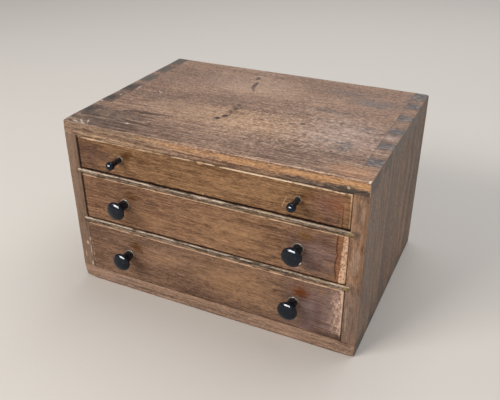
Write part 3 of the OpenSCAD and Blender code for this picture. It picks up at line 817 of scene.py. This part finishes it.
def middle_more(s):
    """Raw wood where the right end's edge strip has lost its polish, and the crack beside it."""
    bays = s.noise((40, 9, 7), 60, 3, 0.6) - 0.5
    strip = s.smooth(s.x + bays * 5 + s.crisp * 0.7 - (s.z - 100) * 0.045, 130.5, 131.5)
    s.lay(strip * 0.95, RAW_STRIP)
    s.darken(strip * s.patches((2, 3, 3), 61, 0.5, 0.58, 3, 0.75), 0.9)
    s.lay(s.smooth(s.x, 125.6, 126.6) * (1 - strip) * 0.6, rgb(150, 100, 68))
    crack = abs(s.x - (s.noise((30, 9, 14), 62, 3, 0.6) * 9 + 121.4))
    s.darken(s.smooth(crack, 0.9, 0.3) * s.smooth(s.z, 79, 84), 0.95)
    s.darken(s.smooth(abs(s.x + 24.6), 0.45, 0.1) * s.smooth(s.z, 92, 88), 0.5)


def lower_more(s):
    """Speckled scuffs at the right end with a dark band below, and a dotted scratch at the left end."""
    patch = s.smooth(s.x + s.ragged * 8, 121, 133) * s.smooth(s.z + s.ragged * 4, 17, 26)
    s.lay(patch * (s.patches((1.8, 2, 4), 63, 0.47, 0.57, 4, 0.8) * 0.8 + 0.1), SCUFF)
    s.lay(s.smooth(s.x + s.fine * 1.5, 134.2, 134.9) * s.smooth(s.z, 17, 24) * 0.8, rgb(246, 210, 184))
    s.darken(s.smooth(s.z + s.ragged * 3, 23, 17) * s.smooth(s.x, 98, 118), 0.8, GREY_TINT)
    dotted = s.smooth(abs(s.x + 134.9), 0.8, 0.3) * s.smooth(s.z, 56, 50) * s.smooth(s.z, 18, 22)
    s.lay(dotted * s.patches((3, 3, 2.2), 64, 0.45, 0.6, 1, 0.5), rgb(200, 175, 150))


# Marks on the drawer fronts: x, z, radii across and up, colour of a stain or turn of a light one, strength.
# "arris" is the upper edge's pale band of rubbed wood and painted highlight: height, colour and strength at
# the left and at the right.
# "gaps" are how far dirt and painted shade reach up from the lower edge and in from the left end.
FRONT_MARKS = {
    "upper": {
        "pale": [(40, 150, 70, 18, 0.3), (-60, 143, 30, 8, 0.2), (131, 150, 6, 16, 0.4)],
        "stains": [(-79.5, 156, 9, 8, OLIVE, 1.0), (99, 156, 8, 6, RUST, 0.3),
                   (116, 150, 20, 26, rgb(134, 96, 88), 0.6), (-122, 150, 34, 24, PURPLE, 0.4),
                   (124, 153, 14, 12, rgb(160, 100, 70), 0.4), (117, 138, 6, 4.5, SOOT, 0.55),
                   (126, 140, 1.6, 8, SOOT, 0.5)],
        "dark": [(-84, 146, 7, 8, 0.35), (-124, 150, 38, 30, 0.72), (20, 158, 40, 3, 0.15),
                 (-60, 150, 26, 22, 0.14)],
        "light": [(78, 146, 0.5, 7, 22, 0.6), (82, 145, 0.4, 5, 26, 0.4), (-136, 141, 0.8, 8, 0, 0.5),
                  (-118, 165.5, 7, 1.5, 0, 0.9), (-2, 165.2, 4.5, 1.4, 0, 0.9), (0, 134, 1.2, 1.6, 0, 0.8)],
        "more": upper_more,
        "arris": (1.2, rgb(246, 216, 184), 0.45, 0.9),
        "gaps": (1.3, 1.7),
    },
    "middle": {
        "pale": [(30, 100, 64, 30, 0.55), (-60, 92, 40, 16, 0.25)],
        "stains": [(106, 100, 34, 36, PURPLE, 0.65), (-78, 113, 12, 7, OLIVE, 0.85),
                   (98, 117, 12, 9, rgb(124, 86, 48), 0.8), (-86, 82, 10, 5, OLIVE, 0.5)],
        "dark": [(3, 103, 4.5, 2.5, 0.75), (-122, 93, 6, 4, 0.45), (114, 117, 12, 7, 0.4),
                 (68, 106, 13, 8, 0.35), (-118, 114, 12, 6, 0.2), (-66, 88, 12, 10, 0.25),
                 (112, 90, 8, 10, 0.2), (-122, 104, 30, 30, 0.25)],
        "light": [(-118, 78, 3, 0.8, 0, 0.8), (-45, 125.4, 12, 0.8, 0, 0.6)],
        "more": middle_more,
        "arris": (0.65, rgb(232, 196, 162), 0.8, 0.9),
        "gaps": (1.1, 1.5),
    },
    "lower": {
        "pale": [(30, 46, 70, 32, 0.5), (-50, 50, 40, 16, 0.2)],
        "stains": [(110, 40, 40, 46, PURPLE, 0.75), (96, 57, 12, 11, RUST, 1.0),
                   (-79, 56, 10, 9, OLIVE, 0.85), (70, 50, 3, 2.5, OLIVE, 0.6)],
        "dark": [(-74, 40, 14, 14, 0.35), (33, 38, 3, 2, 0.5), (72, 51, 2, 2, 0.7),
                 (-60, 26, 30, 6, 0.2), (113, 40, 7, 30, 0.35), (-128, 60, 12, 10, 0.25),
                 (20, 62, 60, 5, 0.15), (-126, 44, 34, 40, 0.3)],
        "light": [],
        "more": lower_more,
        "arris": (0.65, rgb(232, 190, 158), 0.8, 0.9),
        "gaps": (0.4, 0.3),
    },
}


def inside_wood(node, grain, seed, tones):
    """Unpolished wood of the drawers' insides and the back."""
    low, high = box_mm(node)
    s = Wood(f"{node}_wood", grain, tones, seed, (25, -70), 4.0)
    s.stain((40, 20, high[2]), (70, 60, 300), rgb(112, 80, 54), 0.25, 0.9)
    s.darken(s.smooth(s.arris(low, high) + s.ragged * 1.5, 4, 0.5), 0.3)
    s.rub(low, high, 0.6, rgb(206, 170, 128), 0.4)
    return s.ended(0.66, 1.2, BOARD_SHEEN)


def black_gloss(name, chip=None):
    """Black polish on a turned knob whose foot is at z 0, with a fresh chip where one is given."""
    s = Shader(name)
    mottle = s.noise((2.2, 2.2, 2.2), 71, 3, 0.6)
    scuff = s.patches((0.9, 5, 2), 72, 0.56, 0.72, 3, 0.7)
    # Black polish tinted blue, a painted reflection of cool light
    colour = s.mix(mottle, rgb(3, 6, 11), rgb(16, 26, 38))
    colour = s.mix(scuff * 0.2, colour, rgb(66, 76, 88))
    # Dust on the stems, also painted light where the heads shade them
    dust = s.patches((1.6, 1.6, 2.4), 73, 0.38, 0.66, 3, 0.7) * s.smooth(s.z, 9, 3) * 0.55
    colour = s.mix(dust, colour, rgb(84, 78, 72))
    worn = s.smooth(s.z + (mottle - 0.5) * 2.4, 0.8, 0.4)
    colour = s.mix(worn * 0.7, colour, rgb(160, 148, 132))
    if chip:
        colour = s.mix(s.spot(chip, (1.7, 1.9, 1.7), mottle - 0.5), colour, rgb(240, 236, 230))
    turning = s.math("SINE", s.math("SQRT", s.x * s.x + s.y * s.y) * 9 + s.z * 9)
    height = turning * 0.0015 + mottle * 0.06 - scuff * 0.004
    rough = mottle * 0.2 + scuff * 0.2 + dust * 0.5 + 0.1
    return s.surface(colour, rough, height, IOR=1.15, Coat_Weight=0.45, Coat_Roughness=0.08)


def old_iron():
    """Bare iron with patches of rust."""
    s = Shader("old_nail_iron")
    crust = s.noise((1.1, 1.1, 1.1), 81, 4, 0.65)
    colour = s.mix(s.smooth(crust, 0.42, 0.62), rgb(70, 64, 60), rgb(96, 58, 38))
    return s.surface(colour, crust * 0.4 + 0.35, crust * 0.15, Metallic=0.6)


# Pieces

# Depths of the cuts from a face, for boards that show and for hidden ones
FINE = [0.15, 0.4, 0.7, 1.1, 1.7, 2.6, 4.0]
COARSE = [0.15, 0.4, 0.8, 1.5]
CASE_CUTS = [slices(lo, hi, FINE, 8) for lo, hi in zip(CASE_LOW, CASE_HIGH)]
# The stiles' inner arrises are worn too, so the cuts also close up there
for face in (-INNER_X, INNER_X):
    CASE_CUTS[0] += [face + math.copysign(depth, face) for depth in FINE[:5]]

# Bites out of the case's corners and edges, as in wear
CASE_BITES = (
    (-148, FRONT_Y, 1, 9, 3.0),
    (-RIGHT_X, FRONT_Y, TOP_Z, 7, 0.9),
    (RIGHT_X, FRONT_Y, TOP_Z, 5, 0.5),
    (-126, FRONT_Y, TOP_Z, 6, 0.6),
    (RIGHT_X, FRONT_Y, 0, 8, 1.4),
    (60, FRONT_Y, TOP_Z, 22, 0.4),
    (RIGHT_X, BACK_Y - 0.5, TOP_Z, 6, 0.8),
)
CASE_WEAR = (CASE_LOW, CASE_HIGH, (1.0, 0.55, 26, 3, CASE_BITES))

# The sides: seed, colours of front edge and pins, and the box whose arris beside the drawers is worn
SIDES = {
    "left": (3, rgb(107, 92, 83), SOOT, (-FREE, FRONT_Y, -FREE), (-INNER_X, FREE, FREE)),
    "right": (4, rgb(159, 122, 94), GREY, (INNER_X, FRONT_Y, -FREE), (FREE, FREE, FREE)),
}
# The dividers: seed, and how much of the lower arris is rubbed pale
DIVIDERS = {"upper_divider": (5, 0.15), "lower_divider": (6, 0.8)}


def hidden_board(node, wood, step, how):
    """A board that hardly shows, with cuts a step apart and the arguments of wear."""
    low, high = box_mm(node)
    cuts = [slices(lo, hi, COARSE, step) for lo, hi in zip(low, high)]
    worn_board(node, wood, cuts, [(low, high, how)])


def make_case():
    worn_board("top_board", case_top(), CASE_CUTS, [CASE_WEAR])
    worn_board("bottom_board", case_bottom(), CASE_CUTS, [CASE_WEAR])
    for side, (seed, edge, pins, low, high) in SIDES.items():
        wear_inside = (low, high, (0.5, 0.6, 18, seed))
        wood = case_side(side, seed, edge, pins)
        worn_board(f"{side}_side_board", wood, CASE_CUTS, [CASE_WEAR, wear_inside])
    for node, (seed, lower_line) in DIVIDERS.items():
        low, high = box_mm(node)
        along = slices(low[0], high[0], [], 5)
        behind = [low[1] + depth for depth in FINE]
        up = slices(low[2], high[2], FINE[:5], 9)
        wear_front = (-FREE, low[1], low[2]), (FREE, FREE, high[2]), (1.4, 0.6, 16, seed)
        wood = divider_wood(f"{node}_wood", seed, low, high, lower_line)
        worn_board(node, wood, [along, behind, up], [wear_front])
    wood = inside_wood("back_panel", "x", 7, BACK_TONES)
    hidden_board("back_panel", wood, 30, (0.5, 0.5, 20, 7))


# Bites out of the drawer fronts' arrises
FACE_Y = FRONT_Y - 0.5
FRONT_BITES = {
    "upper": ((-118, FACE_Y, 166, 5, 1.2), (-2, FACE_Y, 166, 4, 1.3), (-30, FACE_Y, 166, 8, 0.4)),
    "middle": ((-118, FACE_Y, 77.5, 5, 0.9), (132, FACE_Y, 126, 6, 0.8), (-45, FACE_Y, 126, 9, 0.5)),
    "lower": ((130, FACE_Y, 70, 8, 0.8), (135, FACE_Y, 30, 9, 0.7)),
}
# The drawers' other boards, each with the axis of its grain
DRAWER_BOARDS = {"left_side": "y", "right_side": "y", "back": "x", "bottom": "x"}


def make_drawer(drawer, seed):
    body = f"{drawer}_drawer"
    low, high = box_mm(f"{body}_front")
    cuts = [slices(lo, hi, FINE[:6], step) for lo, hi, step in zip(low, high, (7, 20, 12))]
    wood = drawer_front(drawer, seed, (-30 - 25 * seed, -60))
    worn_board(f"{body}_front", wood, cuts, [(low, high, (0.7, 0.6, 18, seed, FRONT_BITES[drawer]))])
    for part, grain in DRAWER_BOARDS.items():
        # The name's length gives each board a grain of its own
        wood = inside_wood(f"{body}_{part}", grain, seed + len(part), RAW_TONES)
        hidden_board(f"{body}_{part}", wood, 40, (0.4, 0.5, 20, seed))


# The knobs' outlines, as in the CAD model but with finer steps, a fuller dome on the large heads and
# a slightly stouter stem under the small ones
LARGE_HEAD = 9.5
LARGE_REACH = 15.4
LARGE_RIM = 2.6
LARGE_DOME = 0.8
LARGE_WIDEST = 14.6
LARGE_STEM = 4.7
LARGE_FOOT = 5.4
LARGE_FOOT_H = 1.6
LARGE_NECK = 3.6
LARGE_TENON = 3.0
SMALL_BALL = 4.2
SMALL_REACH = 14.5
SMALL_STEM = 2.7
SMALL_FOOT = 3.4
SMALL_FOOT_H = 1.8
SMALL_TENON = 2.0
TENON_L = 11
# The fresh chip, in its knob's own frame
CHIPPED_KNOB = "middle_right_knob"
CHIP_PLACE = (8.6, -3.6, 15.2)


def large_profile():
    flat = LARGE_HEAD - LARGE_RIM
    face = LARGE_REACH + LARGE_RIM + LARGE_DOME
    neck = LARGE_REACH - LARGE_RIM - LARGE_NECK
    return (
        [(0, -TENON_L), (LARGE_TENON, -TENON_L), (LARGE_TENON, 0)]
        + arc(LARGE_FOOT, LARGE_FOOT_H, LARGE_FOOT - LARGE_STEM, LARGE_FOOT_H, 270, 180, 14)
        + arc(flat, neck, flat - LARGE_STEM, LARGE_NECK, 180, 90, 18)[:-1]
        + arc(flat, LARGE_WIDEST, LARGE_RIM, LARGE_WIDEST - (LARGE_REACH - LARGE_RIM), -90, 0, 16)[:-1]
        + arc(0, LARGE_WIDEST, LARGE_HEAD, face - LARGE_WIDEST, 0, 90, 36)
    )


def small_profile():
    start = -math.degrees(math.acos(SMALL_STEM / SMALL_BALL))
    return (
        [(0, -TENON_L), (SMALL_TENON, -TENON_L), (SMALL_TENON, 0)]
        + arc(SMALL_FOOT, SMALL_FOOT_H, SMALL_FOOT - SMALL_STEM, SMALL_FOOT_H, 270, 180, 14)
        + arc(0, SMALL_REACH, SMALL_BALL, SMALL_BALL, start, 90, 36)
    )


def make_knobs():
    """Makes the knobs and returns the collection of them, for the lamp that lights them alone."""
    polish = black_gloss("black_knob_polish")
    chipped = black_gloss("chipped_knob_polish", CHIP_PLACE)
    knobs = bpy.data.collections.new("knobs")
    for drawer in DRAWERS:
        profile = small_profile() if drawer == "upper" else large_profile()
        front_y = box_mm(f"{drawer}_drawer_front")[0][1]
        for side in ("left", "right"):
            node = f"{drawer}_{side}_knob"
            low, high = box_mm(node)
            x, _, z = (low + high) / 2
            mesh = bmesh.new()
            lathe(mesh, profile)
            knob = mesh_object(f"turned_{node}", mesh, 50)
            knob.location = Vector((x, front_y, z)) / TO_MM
            knob.rotation_euler = Euler((math.radians(90), 0, 0))
            bpy.context.view_layer.update()
            dress(knob, node, chipped if node == CHIPPED_KNOB else polish)
            knobs.objects.link(knob)
    return knobs


def make_nails(material):
    """The CAD nails stay as they are under an iron that's crusted with rust."""
    for node in ("back_panel_nails", *(f"{drawer}_drawer_nails" for drawer in DRAWERS)):
        nails = frame["nodes"][node]
        nails.data.materials.clear()
        nails.data.materials.append(material)


# Floor, lamps and camera, in metres

FLOOR_SIZE = 14
HORIZON = (0.62, 0.6, 0.58, 1)
OVERHEAD = (0.25, 0.27, 0.3, 1)
OVERHEAD_FROM = 0.7
LAMPS_AIM = Vector((0, 0, 0.09))
# The photograph's camera, found from the case's corners in it, with its turn in degrees
CAMERA_PLACE = (0.24860, -0.53514, 0.40668)
CAMERA_TURN = (60.5624, 0.0766, 25.2861)
LENS = 45.475
SENSOR_W = 36


def make_floor():
    bpy.ops.mesh.primitive_plane_add(size=FLOOR_SIZE)
    floor = bpy.context.active_object
    floor.name = "floor"
    s = Shader("pale_floor")
    cloud = s.noise((900, 900, 900), 91, 2)
    colour = s.mix(cloud, rgb(214, 206, 197), rgb(219, 211, 202))
    s.surface(colour, cloud * 0.1 + 0.85, cloud * 0, Specular_IOR_Level=0.0)
    floor.data.materials.append(s.material)
    return floor


def add_lamp(name, place, size, power, colour):
    """A soft box that the camera doesn't see, aimed at the cabinet's middle."""
    data = bpy.data.lights.new(name, "AREA")
    data.shape = "RECTANGLE"
    data.size, data.size_y = size
    data.energy = power
    data.color = colour
    lamp = bpy.data.objects.new(name, data)
    lamp.location = place
    lamp.rotation_euler = (LAMPS_AIM - Vector(place)).to_track_quat("-Z", "Y").to_euler()
    lamp.visible_camera = False
    bpy.context.scene.collection.objects.link(lamp)
    return lamp


def make_lights(knobs, floor):
    """Soft boxes, and a world as pale as the floor at the horizon and darker overhead."""
    world = bpy.data.worlds.new("studio")
    world.use_nodes = True
    tree = world.node_tree
    ray = tree.nodes.new("ShaderNodeTexCoord").outputs["Generated"]
    apart = tree.nodes.new("ShaderNodeSeparateXYZ")
    sky = tree.nodes.new("ShaderNodeValToRGB")
    sky.color_ramp.elements[0].color = HORIZON
    sky.color_ramp.elements[1].color = OVERHEAD
    sky.color_ramp.elements[1].position = OVERHEAD_FROM
    tree.links.new(ray, apart.inputs[0])
    tree.links.new(apart.outputs["Z"], sky.inputs["Fac"])
    tree.links.new(sky.outputs["Color"], tree.nodes["Background"].inputs["Color"])
    bpy.context.scene.world = world
    add_lamp("key", (-0.92, -1.42, 1.25), (1.05, 0.6), 27, (1, 0.98, 0.95))
    add_lamp("top", (0.3, 0.7, 1.8), (1.8, 1.6), 20, (0.95, 0.98, 1))
    # A low lamp for the fronts, which would leave a bright band on the floor
    fill = add_lamp("fill", (0.7, -1.75, 0.3), (1.6, 0.4), 5.8, (0.84, 0.94, 1))
    fill.visible_glossy = False
    spared = bpy.data.collections.new("spared_by_fill")
    spared.objects.link(floor)
    spared.collection_objects[0].light_linking.link_state = "EXCLUDE"
    fill.light_linking.receiver_collection = spared
    # The window's gleam, which shows in the knobs alone
    window = add_lamp("window", (-0.25, -1.79, 1.05), (1.6, 0.8), 165, (0.97, 0.99, 1))
    window.visible_diffuse = False
    window.light_linking.receiver_collection = knobs


def make_camera():
    data = bpy.data.cameras.new("camera")
    data.sensor_width = SENSOR_W
    data.lens = LENS
    camera = bpy.data.objects.new("camera", data)
    camera.location = CAMERA_PLACE
    camera.rotation_euler = [math.radians(angle) for angle in CAMERA_TURN]
    bpy.context.scene.collection.objects.link(camera)
    bpy.context.scene.camera = camera


make_case()
for number, drawer in enumerate(DRAWERS):
    make_drawer(drawer, 11 + number * 3)
knobs = make_knobs()
make_nails(old_iron())
make_lights(knobs, make_floor())
make_camera()
bpy.context.scene.view_settings.view_transform = "Standard"
